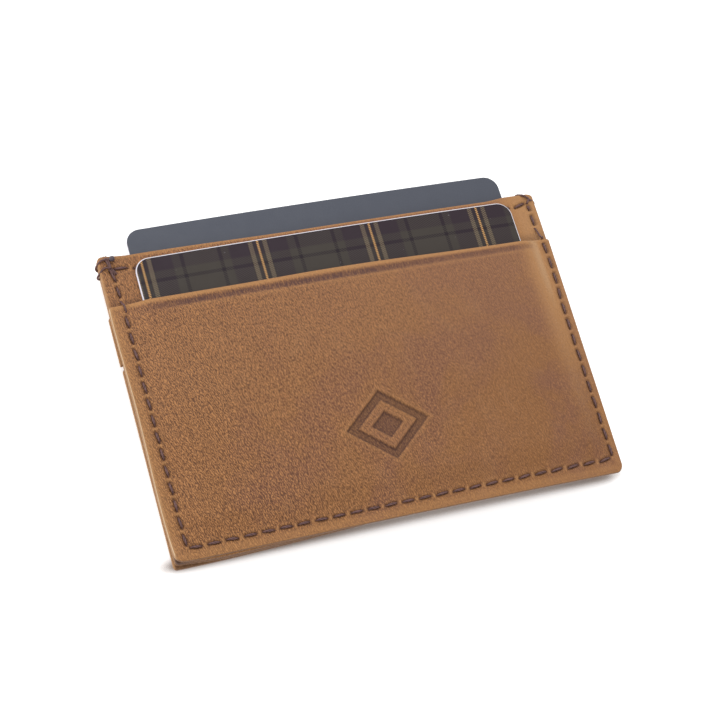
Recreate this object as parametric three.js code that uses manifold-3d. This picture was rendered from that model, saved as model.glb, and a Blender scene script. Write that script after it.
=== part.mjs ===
// A slim leather card holder, lying on its back: two centre panels stitched together, one card pocket
// on the front, two stepped card pockets on the back, and a bank-size card in the front pocket and one
// in the upper back pocket. Millimetres. +X runs along the width, +Y towards the pocket mouths and +Z
// out of the front. The origin is the middle of the flat face of the lower back pocket, on which the
// holder rests.
import * as THREE from 'three';
import { mergeGeometries, mergeVertices } from 'three/addons/utils/BufferGeometryUtils.js';
import Module from 'manifold-3d';

const wasm = await Module();
wasm.setup();

// ---------------------------------------------------------------- outline, measured from the bottom edge
const WALLET_WIDTH = 99;
const WALLET_HEIGHT = 68;
const FRONT_MOUTH = 56;
const BACK_UPPER_MOUTH = 55.1;
const BACK_LOWER_MOUTH = 44.1;
const TAB_GAP = 0.3;
const REST_CENTRE_Y = 26;
const BOTTOM_CORNER_RADIUS = 1.8;
const TOP_CORNER_RADIUS = 1.2;

// ---------------------------------------------------------------- the stack, from the back face upwards
const LEATHER = 1.0;
const THIN_LEATHER = 0.8;
const CARD_ROOM = 0.9;
const EMPTY_ROOM = 0.1;
const LOWER_POCKET_Z = 0;
const UPPER_POCKET_Z = LOWER_POCKET_Z + LEATHER + EMPTY_ROOM;
const CENTRE_BACK_Z = UPPER_POCKET_Z + THIN_LEATHER + CARD_ROOM;
const CENTRE_FRONT_Z = CENTRE_BACK_Z + LEATHER;
const FRONT_SEAT_Z = CENTRE_FRONT_Z + LEATHER;

// ---------------------------------------------------------------- pockets
// Each pocket rises between two distances from its left, right and foot edges, so that it clears its card.
const FRONT_RISE = { left: [3.4, 7.2], right: [2.6, 5], foot: [3.4, 5] };
const UPPER_RISE = { left: [3.4, 6.2], right: [2.6, 5], foot: [11.6, 13.2] };
const LOWER_RISE = { left: [3.4, 6.2], right: [2.6, 6.2], foot: [3.4, 7.6] };
const UPPER_BODY_MARGIN = 6.6;
const UPPER_BODY_FOOT = 8;
const UPPER_SEAM_Y = 9.8;

// ---------------------------------------------------------------- seams
const SEAM_INSET = 3;
const RIGHT_SEAM_INSET = 2.2;
const BOTTOM_STITCHES = 25;
const SIDE_STITCHES = 17;
const UPPER_SEAM_STITCHES = 22;
const UPPER_SEAM_MARGIN = 9;
const THREAD_WIDTH = 0.6;
const THREAD_HEIGHT = 0.35;
const POST_RADIUS = 0.28;
const HOLE_RADIUS = 0.46;
const GROOVE_WIDTH = 1;
const GROOVE_DEPTH = 0.4;
const STEP_LINK = 0.5;
const THREAD_CLEARANCE = 0.06;
const LASHING_DEPTH = 0.4;

// ---------------------------------------------------------------- cards (ISO/IEC 7810 ID-1)
const CARD_WIDTH = 85.6;
const CARD_HEIGHT = 53.98;
const CARD_RADIUS = 3.18;
const CARD_FILM = 0.08;
const CARD_CORE = 0.6;
const CARD_LIFT = 0.07;
const FRONT_CARD_LEFT = 7.4;
const FRONT_CARD_TOP = 65.7;
const BACK_CARD_LEFT = 7.75;
const BACK_CARD_TOP = 73.8;

// Line segments in each quarter-round corner are twice these.
const PANEL_ARC = 3;
const CARD_ARC = 4;

const HALF_WIDTH = WALLET_WIDTH / 2;
const FAR = 100;
const FILM_ROUGHNESS = 0.42;

// ---------------------------------------------------------------- materials
const paint = (color, roughness) => new THREE.MeshStandardMaterial({ color, roughness, metalness: 0 });
const tan = () => paint(0xa9784d, 0.62);
const thread = () => paint(0x4a2c2a, 0.7);

// ---------------------------------------------------------------- solids
function solidOf(geometry) {
  const bare = geometry.index ? geometry.toNonIndexed() : geometry.clone();
  bare.deleteAttribute('normal');
  bare.deleteAttribute('uv');
  const merged = mergeVertices(bare, 1e-5);
  const vertProperties = new Float32Array(merged.attributes.position.array);
  const triVerts = new Uint32Array(merged.index.array);
  return new wasm.Manifold(new wasm.Mesh({ numProp: 3, vertProperties, triVerts }));
}

function geometryOf(solid) {
  const mesh = solid.getMesh();
  const geometry = new THREE.BufferGeometry();
  geometry.setAttribute('position', new THREE.BufferAttribute(new Float32Array(mesh.vertProperties), 3));
  geometry.setIndex(new THREE.BufferAttribute(new Uint32Array(mesh.triVerts), 1));
  return geometry;
}

// A box given by its lowest and highest corners.
function block(low, high) {
  const size = high.map((value, axis) => value - low[axis]);
  const geometry = new THREE.BoxGeometry(...size);
  geometry.translate(...low.map((value, axis) => value + size[axis] / 2));
  return geometry;
}

// The outline of a rectangle whose bottom and top corners are rounded by their own radii.
function roundedOutline(left, right, bottom, top, bottomRadius, topRadius) {
  const shape = new THREE.Shape();
  shape.moveTo(left + bottomRadius, bottom);
  shape.lineTo(right - bottomRadius, bottom);
  shape.absarc(right - bottomRadius, bottom + bottomRadius, bottomRadius, -Math.PI / 2, 0);
  shape.lineTo(right, top - topRadius);
  shape.absarc(right - topRadius, top - topRadius, topRadius, 0, Math.PI / 2);
  shape.lineTo(left + topRadius, top);
  shape.absarc(left + topRadius, top - topRadius, topRadius, Math.PI / 2, Math.PI);
  shape.lineTo(left, bottom + bottomRadius);
  shape.absarc(left + bottomRadius, bottom + bottomRadius, bottomRadius, Math.PI, Math.PI * 1.5);
  return shape;
}

function prism(shape, bottom, depth, curveSegments) {
  const geometry = new THREE.ExtrudeGeometry(shape, { depth, bevelEnabled: false, curveSegments });
  geometry.translate(0, 0, bottom);
  return geometry;
}

// A sheet of leather laid over grid lines in X and Y, with its lower face at heightAt(x, y).
function drapedSheet(xLines, yLines, thickness, heightAt) {
  const columns = xLines.length - 1;
  const rows = yLines.length - 1;
  const geometry = new THREE.BoxGeometry(columns, rows, 1, columns, rows, 1);
  const position = geometry.attributes.position;
  for (let i = 0; i < position.count; i += 1) {
    const x = xLines[Math.round(position.getX(i) + columns / 2)];
    const y = yLines[Math.round(position.getY(i) + rows / 2)];
    const above = position.getZ(i) > 0 ? thickness : 0;
    position.setXYZ(i, x, y, heightAt(x, y) + above);
  }
  return geometry;
}

const ramp = (value, start, end) => Math.min(1, Math.max(0, (value - start) / (end - start)));

// How far a pocket stands off, from 0 on the seam band round its sides and foot to 1 over the card.
function standOff(x, y, rise) {
  const fromLeft = ramp(HALF_WIDTH + x, ...rise.left);
  const fromRight = ramp(HALF_WIDTH - x, ...rise.right);
  return Math.min(fromLeft, fromRight, ramp(y, ...rise.foot));
}

// A pocket on grid lines at its edges and at both ends of each ramp.
function pocketSheet(top, rise, thickness, seatZ, height) {
  const outer = HALF_WIDTH + 1;
  const leftLines = rise.left.map((inset) => inset - HALF_WIDTH);
  const rightLines = rise.right.map((inset) => HALF_WIDTH - inset).reverse();
  const xLines = [-outer, ...leftLines, ...rightLines, outer];
  const yLines = [-1, ...rise.foot, top];
  return solidOf(drapedSheet(xLines, yLines, thickness, (x, y) => seatZ + height * standOff(x, y, rise)));
}

// ---------------------------------------------------------------- stitch holes
const evenly = (from, to, count) =>
  Array.from({ length: count + 1 }, (_, i) => from + ((to - from) * i) / count);

const SEAM_LEFT = SEAM_INSET - HALF_WIDTH;
const SEAM_RIGHT = HALF_WIDTH - RIGHT_SEAM_INSET;
const TOP_SEAM_Y = WALLET_HEIGHT - SEAM_INSET;
const bottomHoleXs = evenly(SEAM_LEFT, SEAM_RIGHT, BOTTOM_STITCHES);
const sideHoleYs = evenly(SEAM_INSET, TOP_SEAM_Y, SIDE_STITCHES);
const upperSeamHalf = HALF_WIDTH - UPPER_SEAM_MARGIN;
const upperSeamXs = evenly(-upperSeamHalf, upperSeamHalf, UPPER_SEAM_STITCHES);

const bothSides = (y) => [[SEAM_LEFT, y], [SEAM_RIGHT, y]];

// The holes of the seam round the sides and foot, without the two that the top seam owns.
function perimeterHoles() {
  const sides = sideHoleYs.slice(1, -1).flatMap(bothSides);
  return [...bottomHoleXs.map((x) => [x, SEAM_INSET]), ...sides];
}

const topHoles = () => bottomHoleXs.map((x) => [x, TOP_SEAM_Y]);
const upperSeamHoles = () => upperSeamXs.map((x) => [x, UPPER_SEAM_Y]);

// Four-sided posts through the leather, all as one geometry.
function posts(points, radius, bottom, top) {
  const made = points.map(([x, y]) => {
    const geometry = new THREE.CylinderGeometry(radius, radius, top - bottom, 4);
    geometry.rotateX(Math.PI / 2);
    geometry.translate(x, y, (bottom + top) / 2);
    return geometry;
  });
  return mergeGeometries(made);
}

const pierced = (solid, points) => solid.subtract(solidOf(posts(points, HOLE_RADIUS, -FAR, FAR)));

// ---------------------------------------------------------------- leather panels
function plate(top, bottomZ, thickness) {
  const shape = roundedOutline(
    -HALF_WIDTH, HALF_WIDTH, 0, top, BOTTOM_CORNER_RADIUS, TOP_CORNER_RADIUS,
  );
  return solidOf(prism(shape, bottomZ, thickness, PANEL_ARC));
}

// A groove along the X axis, sunk into a face at z, that takes a row of thread.
function groove(halfLength, y, lowZ, highZ) {
  const half = GROOVE_WIDTH / 2;
  return solidOf(block([-halfLength, y - half, lowZ], [halfLength, y + half, highZ]));
}

function centreFrontPanel() {
  const top = CENTRE_FRONT_Z + LEATHER;
  const panel = plate(WALLET_HEIGHT, CENTRE_FRONT_Z, LEATHER);
  const grooved = panel.subtract(groove(FAR, TOP_SEAM_Y, top - GROOVE_DEPTH, FAR));
  return pierced(grooved, [...perimeterHoles(), ...topHoles()]);
}

function centreBackPanel() {
  const top = CENTRE_BACK_Z + LEATHER;
  const panel = plate(WALLET_HEIGHT, CENTRE_BACK_Z, LEATHER);
  const grooved = panel
    .subtract(groove(FAR, TOP_SEAM_Y, -FAR, CENTRE_BACK_Z + GROOVE_DEPTH))
    .subtract(groove(upperSeamHalf + THREAD_WIDTH, UPPER_SEAM_Y, top - GROOVE_DEPTH, FAR));
  return pierced(grooved, [...perimeterHoles(), ...topHoles(), ...upperSeamHoles()]);
}

function frontPocketPanel() {
  const sheet = pocketSheet(FRONT_MOUTH, FRONT_RISE, LEATHER, FRONT_SEAT_Z, CARD_ROOM);
  return pierced(sheet.intersect(plate(FRONT_MOUTH, -FAR, 2 * FAR)), perimeterHoles());
}

function backLowerPocketPanel() {
  const seatZ = CENTRE_BACK_Z - LEATHER;
  const sheet = pocketSheet(BACK_LOWER_MOUTH, LOWER_RISE, LEATHER, seatZ, LOWER_POCKET_Z - seatZ);
  return pierced(sheet.intersect(plate(BACK_LOWER_MOUTH, -FAR, 2 * FAR)), perimeterHoles());
}

// A T: tabs as wide as the holder above the lower pocket, and a narrower body that hangs inside it.
function backUpperPocketPanel() {
  const seatZ = CENTRE_BACK_Z - THIN_LEATHER;
  const sheet = pocketSheet(BACK_UPPER_MOUTH, UPPER_RISE, THIN_LEATHER, seatZ, -CARD_ROOM);
  const bodyHalf = HALF_WIDTH - UPPER_BODY_MARGIN;
  const tabFoot = BACK_LOWER_MOUTH + TAB_GAP;
  const tabs = solidOf(block([-HALF_WIDTH, tabFoot, -FAR], [HALF_WIDTH, BACK_UPPER_MOUTH, FAR]));
  const body = solidOf(block([-bodyHalf, UPPER_BODY_FOOT, -FAR], [bodyHalf, BACK_UPPER_MOUTH, FAR]));
  return pierced(sheet.intersect(tabs.add(body)), [...perimeterHoles(), ...upperSeamHoles()]);
}

// ---------------------------------------------------------------- threads
const threadHalf = THREAD_WIDTH / 2;

// Posts end half way through the rows that they join.
const sunk = THREAD_HEIGHT / 2;

const rowAlongX = (fromX, toX, y, lowZ) =>
  block([fromX - threadHalf, y - threadHalf, lowZ], [toX + threadHalf, y + threadHalf, lowZ + THREAD_HEIGHT]);

const rowAlongY = (x, fromY, toY, lowZ) =>
  block([x - threadHalf, fromY, lowZ], [x + threadHalf, toY, lowZ + THREAD_HEIGHT]);

const riser = (x, fromY, lowZ, highZ) =>
  block([x - threadHalf, fromY, lowZ], [x + threadHalf, fromY + STEP_LINK, highZ]);

const joined = (geometries) =>
  geometries.map(solidOf).reduce((whole, solid) => whole.add(solid));

function perimeterSeamThread() {
  const frontZ = FRONT_SEAT_Z + LEATHER;
  const lowerZ = CENTRE_BACK_Z - LEATHER - THREAD_HEIGHT;
  const tabZ = CENTRE_BACK_Z - THIN_LEATHER - THREAD_HEIGHT;
  const centreZ = CENTRE_BACK_Z - THREAD_HEIGHT;
  const foot = SEAM_INSET - threadHalf;
  const head = TOP_SEAM_Y - GROOVE_WIDTH;
  const overFront = FRONT_MOUTH + THREAD_CLEARANCE;
  const overTab = BACK_UPPER_MOUTH + THREAD_CLEARANCE;
  const overLower = BACK_LOWER_MOUTH + THREAD_CLEARANCE;
  const side = (x) => [
    rowAlongY(x, foot, overFront + STEP_LINK, frontZ),
    riser(x, overFront, FRONT_SEAT_Z, frontZ + THREAD_HEIGHT),
    rowAlongY(x, overFront, head, FRONT_SEAT_Z),
    rowAlongY(x, foot, overLower + STEP_LINK, lowerZ),
    rowAlongY(x, overLower, overTab + STEP_LINK, tabZ),
    riser(x, overTab, tabZ, CENTRE_BACK_Z),
    rowAlongY(x, overTab, head, centreZ),
  ];
  const sideYs = sideHoleYs.slice(1, -1);
  const between = (low, high) => sideYs.filter((y) => y > low && y < high).flatMap(bothSides);
  const footHoles = bottomHoleXs.map((x) => [x, SEAM_INSET]);
  return joined([
    rowAlongX(SEAM_LEFT, SEAM_RIGHT, SEAM_INSET, frontZ),
    rowAlongX(SEAM_LEFT, SEAM_RIGHT, SEAM_INSET, lowerZ),
    ...side(SEAM_LEFT),
    ...side(SEAM_RIGHT),
    posts([...footHoles, ...between(0, BACK_LOWER_MOUTH)], POST_RADIUS, lowerZ + sunk, frontZ + sunk),
    posts(between(BACK_LOWER_MOUTH, FRONT_MOUTH), POST_RADIUS, tabZ + sunk, frontZ + sunk),
    posts(between(FRONT_MOUTH, WALLET_HEIGHT), POST_RADIUS, centreZ + sunk, FRONT_SEAT_Z + sunk),
  ]);
}

// The seam that joins the two centre panels, lashed over the top edge at both ends and over the left edge.
function topSeamThread() {
  const frontZ = FRONT_SEAT_Z - THREAD_HEIGHT;
  const backZ = CENTRE_BACK_Z;
  const outerFrontZ = FRONT_SEAT_Z + THREAD_HEIGHT;
  const outerBackZ = CENTRE_BACK_Z - THREAD_HEIGHT;
  const edgeY = WALLET_HEIGHT + THREAD_CLEARANCE;
  const edgeX = -HALF_WIDTH - THREAD_CLEARANCE;
  const rootY = TOP_SEAM_Y + LASHING_DEPTH;
  const lash = (x, y, highY, lowZ, highZ) => block([x - threadHalf, y, lowZ], [x + threadHalf, highY, highZ]);
  const overTop = (x) => [
    lash(x, TOP_SEAM_Y, rootY, frontZ, outerFrontZ),
    lash(x, TOP_SEAM_Y, edgeY + THREAD_HEIGHT, FRONT_SEAT_Z, outerFrontZ),
    lash(x, edgeY, edgeY + THREAD_HEIGHT, outerBackZ, outerFrontZ),
    lash(x, TOP_SEAM_Y, edgeY + THREAD_HEIGHT, outerBackZ, backZ),
    lash(x, TOP_SEAM_Y, rootY, outerBackZ, backZ + THREAD_HEIGHT),
  ];
  const overSide = [
    rowAlongX(edgeX - THREAD_HEIGHT + threadHalf, SEAM_LEFT, TOP_SEAM_Y, frontZ),
    rowAlongX(edgeX - THREAD_HEIGHT + threadHalf, SEAM_LEFT, TOP_SEAM_Y, backZ),
    block(
      [edgeX - THREAD_HEIGHT, TOP_SEAM_Y - threadHalf, backZ],
      [edgeX, TOP_SEAM_Y + threadHalf, FRONT_SEAT_Z],
    ),
  ];
  return joined([
    rowAlongX(SEAM_LEFT, SEAM_RIGHT, TOP_SEAM_Y, frontZ),
    rowAlongX(SEAM_LEFT, SEAM_RIGHT, TOP_SEAM_Y, backZ),
    ...overTop(SEAM_LEFT),
    ...overTop(SEAM_RIGHT),
    ...overSide,
    posts(topHoles(), POST_RADIUS, backZ + sunk, frontZ + sunk),
  ]);
}

// The seam that closes the foot of the upper back pocket, hidden inside the lower one.
function upperPocketSeamThread() {
  const insideZ = CENTRE_FRONT_Z - THREAD_HEIGHT;
  const outsideZ = CENTRE_BACK_Z - THIN_LEATHER - THREAD_HEIGHT;
  return joined([
    rowAlongX(-upperSeamHalf, upperSeamHalf, UPPER_SEAM_Y, insideZ),
    rowAlongX(-upperSeamHalf, upperSeamHalf, UPPER_SEAM_Y, outsideZ),
    posts(upperSeamHoles(), POST_RADIUS, outsideZ + sunk, insideZ + sunk),
  ]);
}

// ---------------------------------------------------------------- cards
// One layer of a card whose left edge and top edge are given as distances on the holder.
function cardLayer(left, top, bottomZ, thickness) {
  const leftX = left - HALF_WIDTH;
  const shape = roundedOutline(
    leftX, leftX + CARD_WIDTH, top - CARD_HEIGHT, top, CARD_RADIUS, CARD_RADIUS,
  );
  return prism(shape, bottomZ, thickness, CARD_ARC);
}

function card(name, left, top, bottomZ, faceColour) {
  const coreZ = bottomZ + CARD_FILM;
  const faceZ = coreZ + CARD_CORE;
  return [
    piece(`${name}_back_film`, cardLayer(left, top, bottomZ, CARD_FILM), paint(faceColour, FILM_ROUGHNESS)),
    piece(`${name}_core`, cardLayer(left, top, coreZ, CARD_CORE), paint(0xe4e2e6, 0.5)),
    piece(`${name}_face_film`, cardLayer(left, top, faceZ, CARD_FILM), paint(faceColour, FILM_ROUGHNESS)),
  ];
}

// ---------------------------------------------------------------- the holder
function piece(name, geometry, material) {
  const mesh = new THREE.Mesh(geometry, material);
  mesh.name = name;
  return mesh;
}

const leather = (name, solid) => piece(name, geometryOf(solid), tan());
const sewn = (name, solid) => piece(name, geometryOf(solid), thread());

const cardHolder = new THREE.Group();
cardHolder.position.y = -REST_CENTRE_Y;
cardHolder.add(
  leather('front_pocket_panel', frontPocketPanel()),
  leather('centre_front_panel', centreFrontPanel()),
  leather('centre_back_panel', centreBackPanel()),
  leather('back_upper_pocket_panel', backUpperPocketPanel()),
  leather('back_lower_pocket_panel', backLowerPocketPanel()),
  sewn('perimeter_seam_thread', perimeterSeamThread()),
  sewn('top_seam_thread', topSeamThread()),
  sewn('upper_pocket_seam_thread', upperPocketSeamThread()),
  ...card('front_card', FRONT_CARD_LEFT, FRONT_CARD_TOP, FRONT_SEAT_Z + CARD_LIFT, 0x2f3034),
  ...card('back_card', BACK_CARD_LEFT, BACK_CARD_TOP, UPPER_POCKET_Z + THIN_LEATHER + CARD_LIFT, 0x4d535c),
);

const part = new THREE.Group();
part.add(cardHolder);
export default part;
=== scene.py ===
"""The looks of the card holder: five leather panels, their stitching and two cards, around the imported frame.

Lengths are millimetres in the row frame until a mesh is made, and metres from there on.
"""

import math

import bmesh
import bpy
import numpy as np
from mathutils import Matrix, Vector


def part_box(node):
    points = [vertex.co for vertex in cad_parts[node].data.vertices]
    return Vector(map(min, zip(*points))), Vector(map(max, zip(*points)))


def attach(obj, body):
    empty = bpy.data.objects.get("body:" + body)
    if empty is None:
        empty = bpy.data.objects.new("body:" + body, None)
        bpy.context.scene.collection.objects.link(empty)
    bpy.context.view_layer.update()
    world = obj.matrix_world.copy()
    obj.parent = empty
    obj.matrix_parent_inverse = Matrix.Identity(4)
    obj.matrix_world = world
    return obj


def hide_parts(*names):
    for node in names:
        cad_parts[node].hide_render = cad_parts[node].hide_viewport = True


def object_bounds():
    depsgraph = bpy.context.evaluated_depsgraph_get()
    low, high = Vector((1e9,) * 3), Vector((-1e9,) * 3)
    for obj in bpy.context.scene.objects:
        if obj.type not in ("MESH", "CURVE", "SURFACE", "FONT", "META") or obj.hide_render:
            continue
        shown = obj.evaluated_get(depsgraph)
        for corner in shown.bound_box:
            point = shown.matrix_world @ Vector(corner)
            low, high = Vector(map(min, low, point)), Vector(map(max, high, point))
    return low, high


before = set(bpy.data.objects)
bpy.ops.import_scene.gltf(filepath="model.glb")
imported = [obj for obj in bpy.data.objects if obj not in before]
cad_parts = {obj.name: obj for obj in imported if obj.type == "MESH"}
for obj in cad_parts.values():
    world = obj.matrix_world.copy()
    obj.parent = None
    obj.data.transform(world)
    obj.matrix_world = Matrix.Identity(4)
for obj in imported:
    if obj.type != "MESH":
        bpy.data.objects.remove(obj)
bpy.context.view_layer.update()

MM = 0.001


def node_box(node):
    """The lowest and highest corners of a CAD node, in millimetres."""
    low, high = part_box(node)
    return np.array(low) / MM, np.array(high) / MM


# ---- sizes taken from the frame
FRONT_LOW, FRONT_HIGH = node_box("front_pocket_panel")
CENTRE_LOW, CENTRE_HIGH = node_box("centre_front_panel")
BACK_LOW, BACK_HIGH = node_box("centre_back_panel")
UPPER_LOW, UPPER_HIGH = node_box("back_upper_pocket_panel")
LOWER_LOW, LOWER_HIGH = node_box("back_lower_pocket_panel")
SEAM_LOW, SEAM_HIGH = node_box("perimeter_seam_thread")
UPPER_SEAM_LOW, UPPER_SEAM_HIGH = node_box("upper_pocket_seam_thread")

HALF_WIDTH = FRONT_HIGH[0]
FOOT = FRONT_LOW[1]
HEAD = CENTRE_HIGH[1]
FRONT_MOUTH = FRONT_HIGH[1]
UPPER_MOUTH = UPPER_HIGH[1]
LOWER_MOUTH = LOWER_HIGH[1]
THREAD_HALF = 0.3

LEATHER = CENTRE_HIGH[2] - CENTRE_LOW[2]
THIN_LEATHER = 0.8 * LEATHER
FRONT_SEAT = FRONT_LOW[2]
BACK_SEAT = BACK_LOW[2]
TAB_SEAT = BACK_SEAT - THIN_LEATHER
LOWER_SEAT = BACK_SEAT - LEATHER
CARD_ROOM = FRONT_HIGH[2] - FRONT_SEAT - LEATHER

# ---- shape of the leather
BOW = 0.93
FRONT_FOOT_RADIUS = 1.8
BACK_FOOT_RADIUS = 0.8
HEAD_RADIUS = 1.2
MOUTH_RADIUS = 0.7
EDGE_RADIUS = 0.3
EDGE_LINES = (0.0, 0.04, 0.13, 0.3, 0.6)
ARC_ROWS = 7
CELL = 1.0
TRIM_REACH = 2.4
TAB_GAP = 0.7
UPPER_BODY_MARGIN = 6.6
CURL_LIFT = 0.9
CURL_REACH = 3.4
MOUTH_DROP = 0.8
MOUTH_DROP_REACH = 2.5
FLESH_GAP = 0.02

# Where each bulge starts and ends, as distances from the left, right and foot edges.
FRONT_OUTER_BULGE = ((3.4, 9.0), (2.7, 6.4), (3.5, 9.0))
FRONT_INNER_BULGE = ((3.4, 7.2), (2.6, 5.0), (3.4, 5.0))
UPPER_BULGE = ((3.4, 6.2), (2.6, 5.0), (11.6, 13.2))
LOWER_BULGE = ((3.4, 6.2), (2.6, 6.2), (3.4, 7.6))

# ---- stitches
SEAM_LEFT = SEAM_LOW[0] + THREAD_HALF
SEAM_RIGHT = SEAM_HIGH[0] - THREAD_HALF
SEAM_FOOT = SEAM_LOW[1] + THREAD_HALF
TOP_SEAM_Y = HEAD - (SEAM_FOOT - FOOT)
FOOT_STITCHES = 25
SIDE_STITCHES = 17
UPPER_SEAM_STITCHES = 22
STITCH_GAP = 1.5
LEFT_SLANT = 0.12
RIGHT_SLANT = 0.02
FOOT_SLANTS = (-0.1, 0.2)
STITCH_WOBBLE = 0.05
STITCH_RADIUS = 0.27
STITCH_LIFT = 0.35
STITCH_DIP = 0.5
PLY_TWIST = 2.6


def bowed(x, z):
    """The whole holder is slightly bowed: its middle stands proud of its left and right edges."""
    return z + BOW * (1 - (x / HALF_WIDTH) ** 2)


def smooth(value, start, end):
    """0 before start, 1 after end, and a smooth step between."""
    t = np.clip((value - start) / (end - start), 0, 1)
    return t * t * (3 - 2 * t)


def bell(value, width):
    return np.exp(-((value / width) ** 2))


def ripple(x, y):
    """A slow, even wander between -1 and 1 that makes a surface less than perfectly flat."""
    waves = ((0.21, 0.08, 0.3), (-0.09, 0.26, 1.7), (0.33, -0.19, 2.9), (0.14, 0.41, 4.4))
    return sum(np.sin(a * x + b * y + c) for a, b, c in waves) / len(waves)


def at_edge(inset):
    """1 on a cut edge, and 0 from TRIM_REACH inside it."""
    return 1 - smooth(inset, 0, TRIM_REACH)


def stand_off(x, y, left, right, foot):
    """From 0 on the seam band to 1 over the card, between two distances from each of three edges."""
    rise = smooth(HALF_WIDTH + x, *left) * smooth(HALF_WIDTH - x, *right)
    return rise * smooth(y - FOOT, *foot)


# ---- outlines
class Outline:
    """A rectangle with rounded foot and head corners: its grid lines, its corner rounding and its inside."""

    def __init__(self, half_width, foot, head, foot_radius, head_radius):
        self.half_width = half_width
        self.foot = foot
        self.head = head
        self.foot_radius = foot_radius
        self.head_radius = head_radius

    def lines(self, extra_x=(), extra_y=()):
        """Grid lines that crowd at the edges and follow the corner arcs."""
        steps = [math.radians(90 * k / ARC_ROWS) for k in range(1, ARC_ROWS + 1)]
        foot_rows = (*EDGE_LINES, *(self.foot_radius * (1 - math.cos(a)) for a in steps))
        head_rows = (*EDGE_LINES, *(self.head_radius * (1 - math.cos(a)) for a in steps[::2]))
        xs = grid_lines(-self.half_width, self.half_width, EDGE_LINES, EDGE_LINES, extra_x)
        ys = grid_lines(self.foot, self.head, foot_rows, head_rows, extra_y)
        return xs, ys

    def warp(self, x, y):
        """Pulls the outer columns in where a row crosses a corner arc."""
        reach = 2.2 * self.foot_radius
        foot_loss = self.corner_loss(y - self.foot, self.foot_radius)
        head_loss = self.corner_loss(self.head - y, self.head_radius)
        into = np.clip(np.abs(x) - (self.half_width - reach), 0, None) / reach
        return x - np.sign(x) * (foot_loss + head_loss) * into

    @staticmethod
    def corner_loss(rise, radius):
        """How far a corner arc stands in from the side, at a height above the arc's end."""
        short = np.clip(radius - rise, 0, radius)
        return radius - np.sqrt(np.clip(radius**2 - short**2, 0, None))

    def inset(self, x, y):
        """The distance to the nearest edge, from the inside."""
        middle = (self.foot + self.head) / 2
        radius = np.where(y < middle, self.foot_radius, self.head_radius)
        qx = np.abs(x) - self.half_width + radius
        qy = np.abs(y - middle) - (self.head - self.foot) / 2 + radius
        outside = np.hypot(np.clip(qx, 0, None), np.clip(qy, 0, None))
        return radius - outside - np.clip(np.maximum(qx, qy), None, 0)


def grid_lines(low, high, near_low, near_high, extra=()):
    """Lines at given distances from both ends, at extra places, and about a cell apart between."""
    places = [low + d for d in near_low] + [high - d for d in near_high] + list(extra)
    fixed = sorted({round(v, 4) for v in places})
    lines = []
    for start, end in zip(fixed, fixed[1:]):
        count = max(1, round((end - start) / CELL))
        lines += [start + (end - start) * k / count for k in range(count)]
    return np.array(lines + [fixed[-1]])


# ---- panels
def grid_solid(xs, ys, keep):
    """A closed mesh of the kept cells: the grain side at level 1, the flesh side at level 0, and walls."""
    bm = bmesh.new()
    made = {}

    def corner(i, j, level):
        key = (i, j, level)
        if key not in made:
            made[key] = bm.verts.new((xs[i], ys[j], level))
        return made[key]

    kept = {
        (i, j)
        for i in range(len(xs) - 1)
        for j in range(len(ys) - 1)
        if keep((xs[i] + xs[i + 1]) / 2, (ys[j] + ys[j + 1]) / 2)
    }
    for i, j in sorted(kept):
        ring = [(i, j), (i + 1, j), (i + 1, j + 1), (i, j + 1)]
        bm.faces.new([corner(a, b, 1) for a, b in ring])
        bm.faces.new([corner(a, b, 0) for a, b in reversed(ring)])
        for side, beyond in enumerate([(i, j - 1), (i + 1, j), (i, j + 1), (i - 1, j)]):
            if beyond not in kept:
                (a, b), (c, d) = ring[side], ring[(side + 1) % 4]
                bm.faces.new([corner(a, b, 0), corner(c, d, 0), corner(c, d, 1), corner(a, b, 1)])
    return bm


def refine(bm, wanted, cuts):
    """Divides the grain side's cells where wanted(x, y) holds."""
    edges = set()
    for face in bm.faces:
        centre = face.calc_center_median()
        if centre.z > 0.99 and wanted(centre.x, centre.y):
            edges.update(face.edges)
    bmesh.ops.subdivide_edges(bm, edges=list(edges), cuts=cuts, use_grid_fill=True)


def set_attribute(mesh, name, values):
    attribute = mesh.attributes.new(name, "FLOAT", "POINT")
    attribute.data.foreach_set("value", np.asarray(values, np.float32))


def flat_surface(z):
    return lambda x, y: z + 0 * x


def mesh_from(bm, name):
    """The finished bmesh as a mesh whose faces all point outwards."""
    bmesh.ops.recalc_face_normals(bm, faces=bm.faces)
    mesh = bpy.data.meshes.new(name)
    bm.to_mesh(mesh)
    bm.free()
    return mesh


def add_piece(name, mesh, body, material, node):
    """Puts a finished mesh into the scene on its body, in place of the CAD node it stands for."""
    piece = bpy.data.objects.new(name, mesh)
    bpy.context.scene.collection.objects.link(piece)
    mesh.materials.append(material)
    mesh.shade_smooth()
    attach(piece, body)
    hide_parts(node)


def panel_height(x, y, level, inset, outer, inner, relief):
    """The height of each vertex of a panel, with the grain side's relief and the rounded edges."""
    outer_z = outer(x, y)
    inner_z = inner(x, y)
    outwards = np.sign(outer_z - inner_z)
    short = np.clip(EDGE_RADIUS - inset, 0, EDGE_RADIUS)
    drop = EDGE_RADIUS - np.sqrt(EDGE_RADIUS**2 - short**2)
    outer_z = outer_z + outwards * (relief - drop)
    inner_z = inner_z + outwards * drop
    return inner_z + level * (outer_z - inner_z)


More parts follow.
